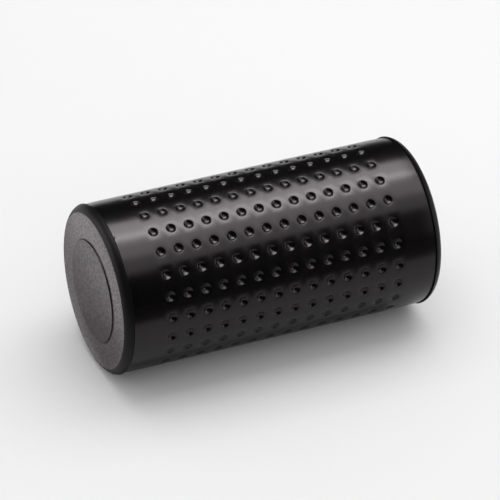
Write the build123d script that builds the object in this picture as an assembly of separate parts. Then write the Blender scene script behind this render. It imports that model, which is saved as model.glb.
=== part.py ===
from build123d import *
import math
import os

# Driving dimensions of the whole shaker, in millimetres and degrees.
overall_length = 128.0
tube_diameter = 63.5
tube_wall = 1.0
tube_edge_break = 0.3

# Dimples, pressed into the tube from outside in straight rows along it.
dimple_rows = 24
dimples_per_row = 14
dimple_end_margin = 14.9
dimple_depth = 1.35
dimple_side_angle = 45.0
dimple_tip_radius = 0.8
dimple_lip_radius = 1.0
bump_lip_radius = 0.4
lip_end_angle = 15.0
lip_run_out = 0.04

# End caps, pushed into the tube and stopped by their flanges.
flange_thickness = 3.4
flange_overhang = 0.35
flange_rim_size = 3.1
flange_rim_edge_angle = 12.0
flange_seam_break = 0.35
plate_thickness = 2.6
skirt_length = 8.0
skirt_wall = 2.0
skirt_lead_in = 0.6
skirt_root_radius = 1.0
disc_diameter = 38.5
disc_height = 0.5

# Adhesive between each cap's skirt and the tube.
bond_thickness = 0.15
bond_setback = 1.2
bond_length = 5.0

# Loose shot, in rows along the lanes between the dimples' inner bumps.
shot_diameter = 4.0
shot_per_row = 12
shot_gap = 0.1
shot_wall_clearance = 0.2
shot_layer_clearance = 0.3
lower_shot_rows = 5
upper_shot_rows = 2
shot_stop_clearance = 0.5

# Sizes that follow from those above.
tube_radius = tube_diameter / 2
tube_bore_radius = tube_radius - tube_wall
tube_length = overall_length - 2 * (flange_thickness + disc_height)
row_angle = 360 / dimple_rows
dimple_pitch = (tube_length - 2 * dimple_end_margin) / (dimples_per_row - 1)
flange_radius = tube_radius + flange_overhang
skirt_radius = tube_bore_radius - bond_thickness
shot_radius = shot_diameter / 2
shot_pitch = shot_diameter + shot_gap
lower_shot_orbit = tube_bore_radius - shot_wall_clearance - shot_radius


def row_places(count, pitch):
    """Places along the tube of a row of equal steps, centred on its middle."""
    return [(index - (count - 1) / 2) * pitch for index in range(count)]


def dimple_form(tip_radius, lip_radius):
    """A dimple as a solid of revolution: round tip, straight sides and a lip that flattens at the mouth."""
    side = math.radians(dimple_side_angle)
    lip_end = math.radians(lip_end_angle)
    middle = (side + lip_end) / 2
    tip_centre = tip_radius - dimple_depth
    tip_end = (tip_radius * math.sin(side), tip_centre - tip_radius * math.cos(side))
    tip_middle = (tip_radius * math.sin(side / 2), tip_centre - tip_radius * math.cos(side / 2))
    lip_centre_height = lip_run_out - lip_radius * math.cos(lip_end)
    lip_start_height = lip_centre_height + lip_radius * math.cos(side)
    lip_start_radius = tip_end[0] + (lip_start_height - tip_end[1]) / math.tan(side)
    lip_centre_radius = lip_start_radius + lip_radius * math.sin(side)
    lip_start = (lip_start_radius, lip_start_height)
    lip_middle = (
        lip_centre_radius - lip_radius * math.sin(middle),
        lip_centre_height + lip_radius * math.cos(middle),
    )
    mouth = (lip_centre_radius - lip_radius * math.sin(lip_end), lip_run_out)
    outline = Wire([
        ThreePointArc((0, -dimple_depth), tip_middle, tip_end),
        Line(tip_end, lip_start),
        ThreePointArc(lip_start, lip_middle, mouth),
        Line(mouth, (0, lip_run_out)),
        Line((0, lip_run_out), (0, -dimple_depth)),
    ])
    return revolve(Plane.XZ * make_face(outline), Axis.Z)


def tube_stave():
    """The slice of the tube that holds one row of dimples along its top."""
    half_length = tube_length / 2
    edge = tube_edge_break
    wall = Polyline(
        (-half_length, tube_bore_radius),
        (half_length, tube_bore_radius),
        (half_length, tube_radius - edge),
        (half_length - edge, tube_radius),
        (edge - half_length, tube_radius),
        (-half_length, tube_radius - edge),
        close=True,
    )
    stave = Rot(-row_angle / 2, 0, 0) * revolve(Plane.XZ * make_face(wall), Axis.X, row_angle)
    dimple = dimple_form(dimple_tip_radius, dimple_lip_radius)
    bump = dimple_form(dimple_tip_radius + tube_wall, bump_lip_radius)
    places = row_places(dimples_per_row, dimple_pitch)
    stave = stave + [Pos(place, 0, tube_bore_radius) * bump for place in places]
    return stave - [Pos(place, 0, tube_radius) * dimple for place in places]


def shell_tube():
    """The dimpled tube: one stave's skin set side by side all the way round and closed into one wall."""

    def is_cut_side(face):
        return face.is_planar and abs(face.normal_at().X) < 0.5

    skin = [face for face in tube_stave().faces() if not is_cut_side(face)]
    turns = [(row + 0.5) * row_angle for row in range(dimple_rows)]
    return Solid(Shell([Rot(turn, 0, 0) * face for turn in turns for face in skin]))


def end_cap():
    """An end cap with its axis on X, its flange seat at X = 0 and its outer face towards +X."""
    rim = flange_rim_size
    rim_edge = math.radians(flange_rim_edge_angle)
    rim_radius = rim / (math.cos(rim_edge) - math.sin(rim_edge))
    rim_middle = rim_radius * (math.cos(rim_edge) - math.sqrt(0.5))
    plate_inner = flange_thickness - plate_thickness
    skirt_bore = skirt_radius - skirt_wall
    root = skirt_root_radius
    root_middle = root * (1 - math.sqrt(0.5))
    disc_face = flange_thickness + disc_height
    disc_radius = disc_diameter / 2
    outline = Wire([
        Line((disc_face, 0), (disc_face, disc_radius)),
        Line((disc_face, disc_radius), (flange_thickness, disc_radius)),
        Line((flange_thickness, disc_radius), (flange_thickness, flange_radius - rim)),
        ThreePointArc(
            (flange_thickness, flange_radius - rim),
            (flange_thickness - rim_middle, flange_radius - rim_middle),
            (flange_thickness - rim, flange_radius),
        ),
        Line((flange_thickness - rim, flange_radius), (0, flange_radius - flange_seam_break)),
        Line((0, flange_radius - flange_seam_break), (0, skirt_radius)),
        Line((0, skirt_radius), (skirt_lead_in - skirt_length, skirt_radius)),
        Line((skirt_lead_in - skirt_length, skirt_radius), (-skirt_length, skirt_radius - skirt_lead_in)),
        Line((-skirt_length, skirt_radius - skirt_lead_in), (-skirt_length, skirt_bore)),
        Line((-skirt_length, skirt_bore), (plate_inner - root, skirt_bore)),
        ThreePointArc(
            (plate_inner - root, skirt_bore),
            (plate_inner - root_middle, skirt_bore - root_middle),
            (plate_inner, skirt_bore - root),
        ),
        Line((plate_inner, skirt_bore - root), (plate_inner, 0)),
        Line((plate_inner, 0), (disc_face, 0)),
    ])
    return revolve(Plane.XZ * make_face(outline), Axis.X)


def cap_bond():
    """A film of adhesive on a cap's skirt, with its axis on X, in the frame of the end cap."""
    ring = Cylinder(tube_bore_radius, bond_length) - Cylinder(skirt_radius, bond_length)
    return Pos(-bond_setback - bond_length / 2, 0, 0) * Rot(0, 90, 0) * ring


def shot_rows():
    """Rows of balls, lower rows in the lanes and upper rows over the dimple rows between them."""
    half_lane = lower_shot_orbit * math.sin(math.radians(row_angle / 2))
    reach = shot_diameter + shot_layer_clearance
    valley_drop = math.sqrt(max(reach ** 2 - half_lane ** 2, 0))
    in_valley = lower_shot_orbit * math.cos(math.radians(row_angle / 2)) - valley_drop
    on_bumps = lower_shot_orbit - dimple_depth
    lower = [(row - lower_shot_rows // 2, lower_shot_orbit) for row in range(lower_shot_rows)]
    upper = [(row - upper_shot_rows // 2 + 0.5, min(in_valley, on_bumps)) for row in range(upper_shot_rows)]
    places = row_places(shot_per_row, shot_pitch)
    return [
        Rot(lane * row_angle, 0, 0) * Compound([Pos(place, 0, -orbit) * Sphere(shot_radius) for place in places])
        for lane, orbit in lower + upper
    ]


nodes = {"shell_tube": shell_tube()}
for side, turn in (("left", 180), ("right", 0)):
    at_end = Rot(0, 0, turn) * Pos(tube_length / 2, 0, 0)
    nodes[f"{side}_end_cap"] = at_end * end_cap()
    nodes[f"{side}_cap_bond"] = at_end * cap_bond()
for number, row in enumerate(shot_rows(), start=1):
    nodes[f"shot_row_{number}"] = row

chamber_length = tube_length - 2 * skirt_length
shot_travel = (chamber_length - shot_per_row * shot_pitch + shot_gap) / 2 - shot_stop_clearance
print(f"Each row of shot slides {shot_travel:.2f} mm either way along the tube.")

os.makedirs("parts", exist_ok=True)
for name, node in nodes.items():
    export_step(node, f"parts/{name}.step", write_pcurves=False)
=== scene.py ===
import math

import bmesh
import bpy
from mathutils import Matrix, Vector


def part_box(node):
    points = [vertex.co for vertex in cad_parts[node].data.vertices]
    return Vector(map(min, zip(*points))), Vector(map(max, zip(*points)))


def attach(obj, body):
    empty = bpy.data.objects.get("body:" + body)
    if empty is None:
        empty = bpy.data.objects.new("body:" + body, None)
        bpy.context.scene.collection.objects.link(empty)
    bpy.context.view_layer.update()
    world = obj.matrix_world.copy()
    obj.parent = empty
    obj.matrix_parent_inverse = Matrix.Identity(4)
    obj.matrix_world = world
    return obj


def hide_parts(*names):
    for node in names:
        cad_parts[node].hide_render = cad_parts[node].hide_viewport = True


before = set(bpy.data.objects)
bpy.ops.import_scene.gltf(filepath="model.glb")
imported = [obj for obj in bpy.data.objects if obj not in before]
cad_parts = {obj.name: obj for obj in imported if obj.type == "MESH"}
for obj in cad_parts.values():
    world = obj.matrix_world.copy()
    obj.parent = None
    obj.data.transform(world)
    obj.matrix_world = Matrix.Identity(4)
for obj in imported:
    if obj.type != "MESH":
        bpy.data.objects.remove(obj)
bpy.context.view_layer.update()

MM = 0.001

# Meshes: how near two points are joined, and the angle at which an edge shows as sharp.
WELD = 0.01 * MM
CREASE = math.radians(40)

# Sizes read from the frame.
TUBE_LOW, TUBE_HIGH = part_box("shell_tube")
CAP_LOW, CAP_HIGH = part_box("right_end_cap")
BOND_LOW, BOND_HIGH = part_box("right_cap_bond")
TUBE_RADIUS = TUBE_HIGH.z
TUBE_HALF = TUBE_HIGH.x
TUBE_WALL = TUBE_RADIUS - BOND_HIGH.z
CAP_RADIUS = CAP_HIGH.z
SKIRT_LENGTH = TUBE_HALF - CAP_LOW.x

# Tube, with its ends drawn in a little, and its dimples, which are round bowls with a soft lip.
TUBE_EDGE_BREAK = 0.12 * MM
TUBE_EDGE_WEAR = 0.06 * MM
TUBE_ROLL_LENGTH = 6.0 * MM
TUBE_ROLL_DEPTH = 0.2 * MM
TUBE_ROLL_STEPS = 6
DIMPLE_ROWS = 24
DIMPLES_PER_ROW = 14
DIMPLE_END_MARGIN = 14.9 * MM
DIMPLE_DEPTH = 1.0 * MM
DIMPLE_SIDE = math.radians(52)
DIMPLE_REACH = DIMPLE_DEPTH / (1 - math.cos(DIMPLE_SIDE))
DIMPLE_LIP_RADIUS = 0.4 * MM
DIMPLE_LIP_TURNS = [0, DIMPLE_SIDE / 2, DIMPLE_SIDE]
DIMPLE_BOWL_TURNS = [DIMPLE_SIDE * 3 / 4, DIMPLE_SIDE / 2, DIMPLE_SIDE / 4, 0]
BUMP_LIP_RADIUS = 0.2 * MM
BUMP_LIP_TURNS = [0, DIMPLE_SIDE]
BUMP_BOWL_TURNS = [DIMPLE_SIDE / 2, 0]
DIMPLE_STEPS = 16
ROW_ANGLE = 2 * math.pi / DIMPLE_ROWS
DIMPLE_PITCH = 2 * (TUBE_HALF - DIMPLE_END_MARGIN) / (DIMPLES_PER_ROW - 1)
CELL_HALF_LENGTH = DIMPLE_PITCH / 2
CELL_HALF_WIDTH = TUBE_RADIUS * ROW_ANGLE / 2
CELL_RING = min(CELL_HALF_LENGTH, CELL_HALF_WIDTH)
FIELD_HALF = DIMPLES_PER_ROW * CELL_HALF_LENGTH

# End caps.
DISC_RADIUS = 19.25 * MM
DISC_HEIGHT = 0.5 * MM
DISC_EDGE_RADIUS = 0.05 * MM
DISC_TONE_FADE = 0.1 * MM
# Painted shade round the foot of the disc: where it starts and where it has faded out.
CORNER_SHADE_START = 0.2 * MM
CORNER_SHADE_END = 0.7 * MM
FLANGE_THICKNESS = CAP_HIGH.x - TUBE_HALF - DISC_HEIGHT
RIM_SIZE = 3.1 * MM
RIM_EDGE_ANGLE = 12
RIM_END_ANGLE = 75
# How far the rim's painted shade, its softer grain and its missing coat take to fade in.
RIM_TONE_FADE = 0.6 * MM
SEAM_WIDTH = 0.5 * MM
SEAM_DEPTH = 0.9 * MM
PLATE_THICKNESS = 2.6 * MM
BOND_THICKNESS = 0.15 * MM
SKIRT_WALL = 2.0 * MM
SKIRT_LEAD_IN = 0.6 * MM
SKIRT_ROOT_RADIUS = 1.0 * MM
CAP_STEPS = 128
ROUND_STEPS = 6

# Bead of adhesive squeezed out of the left seam.
BEAD_ANGLE = math.radians(70)
BEAD_SIZE = Vector((0.55, 0.65, 0.45)) * MM

# Camera at the photograph's angle.
CAMERA_AZIMUTH = math.radians(-24.82)
CAMERA_ELEVATION = math.radians(34.90)
CAMERA_ROLL = math.radians(1.83)
CAMERA_OFFSET = Vector((-0.84, 1.55, 1555.1)) * MM
CAMERA_LENS = 302.4
CAMERA_REACH = 20.0

# Softboxes over the shaker, with the places of their two ends along it.
SOFTBOX_DISTANCE = 0.9
KEY_ENDS = (-0.38, 0.52)
FRONT_ENDS = (-0.12, 1.1)
SIDE_ENDS = (0.68, 1.2)
FLOOR_LIGHT_ENDS = (-0.37, 1.03)

# Softboxes beyond the two ends of the shaker, and the room's colour, seen and mirrored.
RIGHT_SOFTBOX_PLACE = Vector((0.9, -0.25, 0.2))
RIGHT_SOFTBOX_SIZE = (0.4, 0.7)
LEFT_SOFTBOX_FACING = Vector((-0.85, 0.45, 0.3))
LEFT_SOFTBOX_SIZE = (0.5, 0.7)
ROOM_COLOUR = (0.78, 0.78, 0.78, 1)
MIRRORED_ROOM_COLOUR = (0.020, 0.019, 0.018, 1)

# Floor, and two corners of each card that lies on it: painted shade of the floor, seen only in reflections.
FLOOR_HALF = 4.0
CARD_LIFT = 0.2 * MM
FRONT_CARD = ((-1.0, -2.0), (1.0, -0.135))
LEFT_CARD = ((-0.086, -0.01), (-0.065, 0.14))
UNDER_CARD = ((-0.064, -0.027), (0.05, 0.0))


class Value:
    """A socket in a finish's maths. Each operator adds a Math node."""

    def __init__(self, finish, socket):
        self.finish = finish
        self.socket = socket

    def maths(self, operation, *terms):
        return self.finish.node("ShaderNodeMath", {"operation": operation}, dict(enumerate(terms)))

    def __add__(self, other):
        return self.maths("ADD", self, other)

    def __sub__(self, other):
        return self.maths("SUBTRACT", self, other)

    def __rsub__(self, other):
        return self.maths("SUBTRACT", other, self)

    def __mul__(self, other):
        return self.maths("MULTIPLY", self, other)

    def __pow__(self, other):
        return self.maths("POWER", self, other)

    def __abs__(self):
        return self.maths("ABSOLUTE", self)

    __radd__ = __add__
    __rmul__ = __mul__


class Finish:
    """A material with its shader, and the surface places that its patterns read."""

    def __init__(self, name):
        self.material = bpy.data.materials.new(name)
        self.material.use_nodes = True
        self.tree = self.material.node_tree
        self.shader = self.tree.nodes["Principled BSDF"]
        self.place = self.node("ShaderNodeTexCoord", out="Object")
        self.x, self.y, self.z = (
            self.node("ShaderNodeSeparateXYZ", {}, {0: self.place}, axis) for axis in "XYZ"
        )

    def node(self, kind, settings=None, sockets=None, out=0):
        made = self.tree.nodes.new(kind)
        for name, setting in (settings or {}).items():
            setattr(made, name, setting)
        for key, value in (sockets or {}).items():
            self.feed(made.inputs[key], value)
        return Value(self, made.outputs[out])

    def feed(self, socket, value):
        if isinstance(value, Value):
            self.tree.links.new(value.socket, socket)
        else:
            socket.default_value = value

    def shade(self, **sockets):
        for name, value in sockets.items():
            self.feed(self.shader.inputs[name.replace("_", " ")], value)
        return self.material

    def noise(self, per_metre, detail=2.0, roughness=0.5):
        """Soft noise with so many lumps per metre along each axis."""
        stretched = self.node("ShaderNodeMapping", {}, {"Vector": self.place, "Scale": per_metre})
        sockets = {"Vector": stretched, "Scale": 1.0, "Detail": detail, "Roughness": roughness}
        return self.node("ShaderNodeTexNoise", {}, sockets)

    def ramp(self, value, low, high):
        """0 up to low, 1 from high and a smooth rise between them."""
        settings = {"interpolation_type": "SMOOTHSTEP"}
        sockets = {"Value": value, "From Min": low, "From Max": high}
        return self.node("ShaderNodeMapRange", settings, sockets)

    def blend(self, share, first, second):
        """One colour turning into another as share goes from 0 to 1. Sockets 6 and 7 hold the colours."""
        sockets = {0: share, 6: (*first, 1) if isinstance(first, tuple) else first, 7: (*second, 1)}
        return self.node("ShaderNodeMix", {"data_type": "RGBA"}, sockets, out=2)

    def bump(self, height, depth, under=None):
        sockets = {"Height": height, "Distance": depth, "Strength": 1.0}
        if under:
            sockets["Normal"] = under
        return self.node("ShaderNodeBump", {}, sockets)


def evenly(size):
    return (size, size, size)


def satin_coat():
    """Satin black coat on the tube: turned lines, a soft mottle and a thinner coat on the end edges."""
    finish = Finish("satin_black_coat")
    turned = finish.noise((2400, 24, 24), detail=3)
    mottle = finish.noise(evenly(55), detail=3)
    peel = finish.noise(evenly(1300), detail=1)
    edge_start = TUBE_HALF - TUBE_EDGE_BREAK
    edge = finish.ramp(abs(finish.x), edge_start - TUBE_EDGE_WEAR, edge_start + TUBE_EDGE_WEAR)
    thin = edge * (0.04 + mottle * 0.12)
    coat = finish.blend(mottle, (0.0013, 0.0011, 0.0013), (0.0022, 0.0019, 0.0021))
    colour = finish.blend(thin, coat, (0.30, 0.295, 0.29))
    lines = finish.bump(turned, 0.0022 * MM)
    skin = finish.bump(peel, 0.0025 * MM, lines)
    return finish.shade(
        Base_Color=colour,
        Metallic=thin,
        Roughness=0.185 + turned * 0.05 + mottle * 0.05,
        Normal=skin,
        Specular_IOR_Level=0.3,
        Specular_Tint=(1.0, 0.91, 0.95, 1),
    )


def eroded_plastic():
    """Black moulded plastic: an eroded grain on its faces, painted shade round the foot of its disc and a
    rim darkened by painted shade.
    """
    finish = Finish("eroded_black_plastic")
    grain = finish.noise(evenly(1100), detail=4, roughness=0.65)
    pits = finish.noise(evenly(4200), detail=1)
    mottle = finish.noise(evenly(70), detail=2)
    across = (finish.y ** 2 + finish.z ** 2) ** 0.5
    disc = 1 - finish.ramp(across, DISC_RADIUS - DISC_TONE_FADE, DISC_RADIUS)
    beside_disc = 1 - finish.ramp(across - DISC_RADIUS, CORNER_SHADE_START, CORNER_SHADE_END)
    corner_shade = beside_disc * (1 - disc) * 0.8
    rim_start = CAP_RADIUS - RIM_SIZE
    rim = finish.ramp(across, rim_start, rim_start + RIM_TONE_FADE)
    face = finish.blend(finish.ramp(grain, 0.4, 0.6), (0.029, 0.0235, 0.0243), (0.109, 0.0882, 0.0910))
    toned = finish.blend(disc * (0.3 + mottle * 0.1), face, (0.012, 0.0098, 0.0102))
    # Painted shade: the colour is darkened round the foot of the raised disc, and the coat is taken away
    # there too.
    shaded = finish.blend(corner_shade, toned, (0.003, 0.0027, 0.0028))
    # Painted shade: the rim, the same plastic as the face, is given a darker colour.
    colour = finish.blend(rim, shaded, (0.004, 0.0037, 0.0038))
    glint = 0.6 + finish.ramp(grain, 0.42, 0.58) * 0.4
    roughened = finish.bump((grain + pits * 0.4) * (1 - rim * 0.35), 0.14 * MM)
    return finish.shade(
        Base_Color=colour,
        Roughness=0.32 + grain * 0.1 + rim * 0.02,
        Normal=roughened,
        Specular_IOR_Level=0.12,
        Coat_Weight=glint * (1 - rim) * (1 - disc * 0.3) * (1 - corner_shade),
        Coat_Roughness=0.28,
        Coat_IOR=1.7,
        Coat_Tint=(1.0, 0.95, 0.97, 1),
        Specular_Tint=(1.0, 0.93, 0.96, 1),
    )


def set_adhesive():
    """Black adhesive, set with a slightly wrinkled skin."""
    finish = Finish("set_adhesive")
    wrinkle = finish.noise(evenly(900), detail=2)
    tone = finish.blend(wrinkle, (0.006, 0.006, 0.006), (0.014, 0.014, 0.014))
    skin = finish.bump(wrinkle, 0.03 * MM)
    return finish.shade(Base_Color=tone, Roughness=0.32 + wrinkle * 0.2, Normal=skin)


def shot_steel():
    """Polished steel balls, scuffed by knocking together."""
    finish = Finish("shot_steel")
    scuff = finish.noise(evenly(2500), detail=3)
    tint = finish.noise(evenly(300), detail=2)
    tone = finish.blend(tint, (0.50, 0.505, 0.51), (0.62, 0.625, 0.63))
    skin = finish.bump(scuff, 0.004 * MM)
    return finish.shade(Base_Color=tone, Metallic=1.0, Roughness=0.14 + scuff * 0.2, Normal=skin)


def floor_paper():
    """Pale paper that the shaker lies on."""
    finish = Finish("floor_paper")
    fibre = finish.noise(evenly(400), detail=4)
    cloud = finish.noise(evenly(6), detail=2)
    tone = finish.blend(cloud, (0.80, 0.80, 0.80), (0.83, 0.83, 0.83))
    skin = finish.bump(fibre, 0.01 * MM)
    return finish.shade(Base_Color=tone, Roughness=0.8 + fibre * 0.1, Normal=skin)


def shade_card_finish(name, grey):
    """Finish of the cards on the floor, in one grey: painted shade of the floor in reflections."""
    finish = Finish(name)
    nap = finish.noise(evenly(900), detail=2)
    tone = finish.blend(nap, evenly(0.8 * grey), evenly(1.2 * grey))
    return finish.shade(Base_Color=tone, Roughness=0.9, Normal=finish.bump(nap, 0.05 * MM))


def chain(bm, points):
    """A line of edges through the points, as the geometry that spin takes."""
    verts = [bm.verts.new(point) for point in points]
    return verts + [bm.edges.new(pair) for pair in zip(verts, verts[1:])]


def everything(bm):
    return bm.verts[:] + bm.edges[:] + bm.faces[:]


def weld(bm):
    bmesh.ops.remove_doubles(bm, verts=bm.verts, dist=WELD)


def arc(centre, radius, start, end):
    """Points of an arc in the section plane, with angles in degrees from the tube's axis outwards."""
    turns = [math.radians(start + (end - start) * step / ROUND_STEPS) for step in range(ROUND_STEPS + 1)]
    return [(centre[0] + radius * math.cos(turn), centre[1] + radius * math.sin(turn)) for turn in turns]


def make_piece(name, bm, material):
    """A smooth-shaded object in the scene, with its sharp edges marked."""
    mesh = bpy.data.meshes.new(name)
    bm.to_mesh(mesh)
    bm.free()
    mesh.shade_smooth()
    mesh.set_sharp_from_angle(angle=CREASE)
    mesh.materials.append(material)
    piece = bpy.data.objects.new(name, mesh)
    bpy.context.scene.collection.objects.link(piece)
    return piece


def dimple_outline(lip_radius, lip_turns, bowl_turns, height):
    """Half section of a dimple in a sheet at this height: edge of its cell, lip and bowl."""
    mouth = DIMPLE_REACH * math.sin(DIMPLE_SIDE)
    bowl_radius = DIMPLE_REACH - lip_radius
    lip = [(mouth - lip_radius * math.sin(turn), lip_radius * (math.cos(turn) - 1)) for turn in lip_turns]
    bowl = [
        (bowl_radius * math.sin(turn), bowl_radius * (1 - math.cos(turn)) - DIMPLE_DEPTH)
        for turn in bowl_turns
    ]
    return [Vector((reach, 0, height + rise)) for reach, rise in [(CELL_RING, 0), *lip, *bowl]]


def square_up(bm):
    """Draws each dimple's outermost ring out to the edge of its cell, so that cells meet side by side."""
    for vert in bm.verts:
        if vert.co.xy.length > CELL_RING - WELD:
            span = max(abs(vert.co.x), abs(vert.co.y))
            vert.co.x *= CELL_HALF_LENGTH / span
            vert.co.y *= CELL_HALF_WIDTH / span


def run_out(bm, side, height, stations):
    """Carries one sheet of the stave past its last dimple, through stations of (place along, height)."""

    def on_edge(vert):
        return vert.co.x * side > FIELD_HALF - WELD and abs(vert.co.z - height) < WELD

    edge = [e for e in bm.edges if e.is_boundary and all(on_edge(vert) for vert in e.verts)]
    for along, station_height in stations:
        grown = bmesh.ops.extrude_edge_only(bm, edges=edge)["geom"]
        verts = {item for item in grown if isinstance(item, bmesh.types.BMVert)}
        edge = [e for e in grown if isinstance(e, bmesh.types.BMEdge) and verts.issuperset(e.verts)]
        for vert in verts:
            vert.co.x = side * along
            vert.co.z = station_height


def tube_stave():
    """One row of dimples, laid flat with its outside up, from end to end of the tube."""
    bm = bmesh.new()
    outside = dimple_outline(DIMPLE_LIP_RADIUS, DIMPLE_LIP_TURNS, DIMPLE_BOWL_TURNS, 0)
    inside = dimple_outline(BUMP_LIP_RADIUS, BUMP_LIP_TURNS, BUMP_BOWL_TURNS, -TUBE_WALL)
    for outline in (outside, inside):
        bmesh.ops.spin(
            bm,
            geom=chain(bm, outline),
            axis=(0, 0, 1),
            cent=(0, 0, 0),
            angle=2 * math.pi,
            steps=DIMPLE_STEPS,
            use_merge=True,
        )
    square_up(bm)
    weld(bm)
    bmesh.ops.translate(bm, verts=bm.verts, vec=(CELL_HALF_LENGTH - FIELD_HALF, 0, 0))
    bmesh.ops.spin(
        bm,
        geom=everything(bm),
        axis=(1, 0, 0),
        cent=(0, 0, 0),
        dvec=(DIMPLE_PITCH, 0, 0),
        angle=0,
        steps=DIMPLES_PER_ROW - 1,
        use_duplicate=True,
    )
    weld(bm)
    roll_start = TUBE_HALF - TUBE_EDGE_BREAK - TUBE_ROLL_LENGTH
    shares = [step / TUBE_ROLL_STEPS for step in range(TUBE_ROLL_STEPS + 1)]
    roll = [(roll_start + share * TUBE_ROLL_LENGTH, -TUBE_ROLL_DEPTH * share ** 2) for share in shares]
    outer_end = [*roll, (TUBE_HALF, -TUBE_ROLL_DEPTH - TUBE_EDGE_BREAK), (TUBE_HALF, -TUBE_WALL)]
    for side in (-1, 1):
        run_out(bm, side, 0, outer_end)
        run_out(bm, side, -TUBE_WALL, [(TUBE_HALF, -TUBE_WALL)])
    return bm


def shell_tube(material):
    """The dimpled tube: one stave bent to the tube's curve and repeated all the way round."""
    bm = tube_stave()
    for vert in bm.verts:
        turn = vert.co.y / TUBE_RADIUS - ROW_ANGLE / 2
        reach = TUBE_RADIUS + vert.co.z
        vert.co.y = reach * math.sin(turn)
        vert.co.z = reach * math.cos(turn)
    bmesh.ops.spin(
        bm,
        geom=everything(bm),
        axis=(1, 0, 0),
        cent=(0, 0, 0),
        angle=2 * math.pi - ROW_ANGLE,
        steps=DIMPLE_ROWS - 1,
        use_duplicate=True,
    )
    weld(bm)
    bmesh.ops.recalc_face_normals(bm, faces=bm.faces)
    tube = make_piece("dimpled_tube", bm, material)
    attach(tube, "shell")
    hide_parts("shell_tube")


def cap_outline():
    """Half section of an end cap from the middle of its disc to the middle of its plate, seat at 0."""
    face = FLANGE_THICKNESS
    disc = face + DISC_HEIGHT
    edge = DISC_EDGE_RADIUS
    plate = face - PLATE_THICKNESS
    rim_turn = math.radians(RIM_EDGE_ANGLE)
    rim = RIM_SIZE / (math.cos(rim_turn) - math.sin(rim_turn))
    rim_centre = (face - rim * math.cos(rim_turn), CAP_RADIUS - rim * math.cos(rim_turn))
    skirt = TUBE_RADIUS - TUBE_WALL - BOND_THICKNESS
    skirt_bore = skirt - SKIRT_WALL
    root = SKIRT_ROOT_RADIUS
    return [
        (disc, 0),
        *arc((disc - edge, DISC_RADIUS - edge), edge, 0, 90),
        *arc((face + edge, DISC_RADIUS + edge), edge, 270, 180),
        *arc(rim_centre, rim, RIM_EDGE_ANGLE, RIM_END_ANGLE),
        (SEAM_WIDTH, CAP_RADIUS - SEAM_DEPTH),
        (0, CAP_RADIUS - SEAM_DEPTH),
        (0, skirt),
        (SKIRT_LEAD_IN - SKIRT_LENGTH, skirt),
        (-SKIRT_LENGTH, skirt - SKIRT_LEAD_IN),
        (-SKIRT_LENGTH, skirt_bore),
        *arc((plate - root, skirt_bore - root), root, 90, 0),
        (plate, 0),
    ]


def end_cap(side, turn, material):
    """An end cap at one end of the tube, its section spun round the tube's axis."""
    bm = bmesh.new()
    outline = [Vector((TUBE_HALF + along, 0, reach)) for along, reach in cap_outline()]
    bmesh.ops.spin(
        bm,
        geom=chain(bm, outline),
        axis=(1, 0, 0),
        cent=(0, 0, 0),
        angle=2 * math.pi,
        steps=CAP_STEPS,
        use_merge=True,
    )
    weld(bm)
    bmesh.ops.rotate(bm, verts=bm.verts, cent=(0, 0, 0), matrix=Matrix.Rotation(turn, 3, "Z"))
    bmesh.ops.recalc_face_normals(bm, faces=bm.faces)
    cap = make_piece(f"{side}_cap", bm, material)
    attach(cap, "shell")
    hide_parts(f"{side}_end_cap")


def seam_bead(material):
    """A small bead of adhesive squeezed out of the seam between the left cap and the tube."""
    bm = bmesh.new()
    bmesh.ops.create_icosphere(bm, subdivisions=3, radius=1.0)
    bmesh.ops.scale(bm, verts=bm.verts, vec=BEAD_SIZE)
    bmesh.ops.translate(bm, verts=bm.verts, vec=(-TUBE_HALF, 0, TUBE_RADIUS))
    lean = math.pi / 2 - BEAD_ANGLE
    bmesh.ops.rotate(bm, verts=bm.verts, cent=(0, 0, 0), matrix=Matrix.Rotation(lean, 3, "X"))
    bead = make_piece("seam_bead", bm, material)
    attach(bead, "shell")


def dress_cad_node(node, material):
    """Gives a CAD node that stays in view its own finish."""
    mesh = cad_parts[node].data
    mesh.materials.clear()
    mesh.materials.append(material)


def floor():
    """The pale floor under the shaker."""
    bm = bmesh.new()
    bmesh.ops.create_grid(bm, x_segments=1, y_segments=1, size=FLOOR_HALF)
    bmesh.ops.translate(bm, verts=bm.verts, vec=(0, 0, -CAP_RADIUS))
    make_piece("floor", bm, floor_paper())


def floor_card(name, corners, material):
    """A card on the floor between two corners: painted shade of the floor that shows only in the shaker's
    reflections.
    """
    low, high = corners
    bm = bmesh.new()
    bmesh.ops.create_grid(bm, x_segments=1, y_segments=1, size=0.5)
    bmesh.ops.scale(bm, verts=bm.verts, vec=(high[0] - low[0], high[1] - low[1], 1))
    middle = ((low[0] + high[0]) / 2, (low[1] + high[1]) / 2, CARD_LIFT - CAP_RADIUS)
    bmesh.ops.translate(bm, verts=bm.verts, vec=middle)
    card = make_piece(name, bm, material)
    card.visible_camera = False
    card.visible_diffuse = False
    card.visible_shadow = False


def softbox(name, place, facing, size, radiance, in_reflections=True):
    """A softbox facing back along a direction. It either shows in reflections or lights the scene."""
    light = bpy.data.lights.new(name, "AREA")
    light.shape = "RECTANGLE"
    light.size, light.size_y = size
    light.energy = radiance * math.pi * light.size * light.size_y
    lamp = bpy.data.objects.new(name, light)
    lamp.location = place
    lamp.rotation_euler = facing.to_track_quat("Z", "X").to_euler()
    lamp.visible_camera = False
    lamp.visible_glossy = in_reflections
    lamp.visible_diffuse = not in_reflections
    bpy.context.scene.collection.objects.link(lamp)


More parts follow.
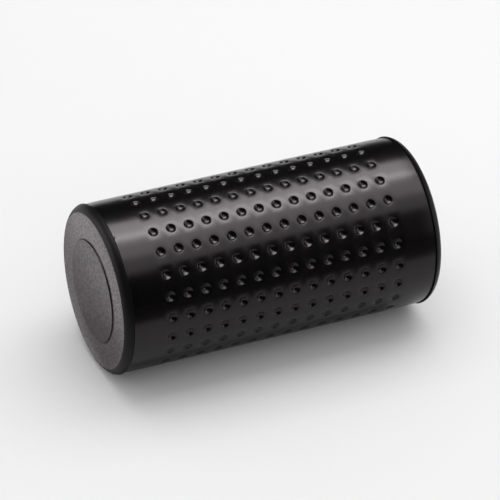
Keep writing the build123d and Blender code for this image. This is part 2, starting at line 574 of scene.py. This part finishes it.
def overhead_softbox(name, start, end, ends, radiance, in_reflections=True):
    """A long softbox over the shaker between two angles, in degrees from the front horizon over the top."""
    width = 2 * SOFTBOX_DISTANCE * math.tan(math.radians(end - start) / 2)
    angle = math.radians(start + end) / 2
    facing = Vector((0, -math.cos(angle), math.sin(angle)))
    left, right = ends
    place = facing * SOFTBOX_DISTANCE + Vector(((left + right) / 2, 0, 0))
    softbox(name, place, facing, (width, right - left), radiance, in_reflections)


def studio():
    """Softboxes that the shaker mirrors, a light for the floor, and a pale room that is mirrored dark."""
    overhead_softbox("key_softbox", 91, 123, KEY_ENDS, 7.3)
    overhead_softbox("key_lamp", 95, 103, KEY_ENDS, 8.0)
    overhead_softbox("front_softbox", 68, 91, FRONT_ENDS, 3.7)
    overhead_softbox("low_softbox", 48, 68, FRONT_ENDS, 1.6)
    overhead_softbox("side_softbox", 10, 48, SIDE_ENDS, 4.0)
    softbox("right_softbox", RIGHT_SOFTBOX_PLACE, Vector((1, 0, 0)), RIGHT_SOFTBOX_SIZE, 1.3)
    left_place = LEFT_SOFTBOX_FACING * SOFTBOX_DISTANCE
    softbox("left_softbox", left_place, LEFT_SOFTBOX_FACING, LEFT_SOFTBOX_SIZE, 4.0)
    overhead_softbox("floor_softbox", 80, 125, FLOOR_LIGHT_ENDS, 1.4, in_reflections=False)
    world = bpy.data.worlds.new("studio")
    world.use_nodes = True
    tree = world.node_tree
    room = tree.nodes["Background"]
    room.inputs["Color"].default_value = ROOM_COLOUR
    mirrored = tree.nodes.new("ShaderNodeBackground")
    mirrored.inputs["Color"].default_value = MIRRORED_ROOM_COLOUR
    path = tree.nodes.new("ShaderNodeLightPath")
    mix = tree.nodes.new("ShaderNodeMixShader")
    tree.links.new(path.outputs["Is Glossy Ray"], mix.inputs[0])
    tree.links.new(room.outputs[0], mix.inputs[1])
    tree.links.new(mirrored.outputs[0], mix.inputs[2])
    tree.links.new(mix.outputs[0], tree.nodes["World Output"].inputs["Surface"])
    bpy.context.scene.world = world
    bpy.context.scene.view_settings.view_transform = "Standard"


def camera():
    """The camera at the photograph's angle, turned about the middle of the shaker."""
    data = bpy.data.cameras.new("camera")
    data.lens = CAMERA_LENS
    data.clip_end = CAMERA_REACH
    eye = bpy.data.objects.new("camera", data)
    turn = Matrix.Rotation(CAMERA_AZIMUTH, 4, "Z")
    tilt = Matrix.Rotation(math.pi / 2 - CAMERA_ELEVATION, 4, "X")
    roll = Matrix.Rotation(CAMERA_ROLL, 4, "Z")
    eye.matrix_world = turn @ tilt @ roll @ Matrix.Translation(CAMERA_OFFSET)
    bpy.context.scene.collection.objects.link(eye)
    bpy.context.scene.camera = eye


shell_tube(satin_coat())
cap_plastic = eroded_plastic()
end_cap("right", 0, cap_plastic)
end_cap("left", math.pi, cap_plastic)
adhesive = set_adhesive()
seam_bead(adhesive)
for side in ("left", "right"):
    dress_cad_node(f"{side}_cap_bond", adhesive)
steel = shot_steel()
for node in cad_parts:
    if node.startswith("shot_row"):
        dress_cad_node(node, steel)
floor()
# Painted shade in reflections: cards darker than the floor, where the floor lies in shadow in front of,
# beside and under the shaker.
floor_card("front_flag", FRONT_CARD, shade_card_finish("black_reflected_shade", 0.014))
floor_card("left_flag", LEFT_CARD, shade_card_finish("grey_reflected_shade", 0.22))
floor_card("under_flag", UNDER_CARD, shade_card_finish("pale_reflected_shade", 0.4))
studio()
camera()
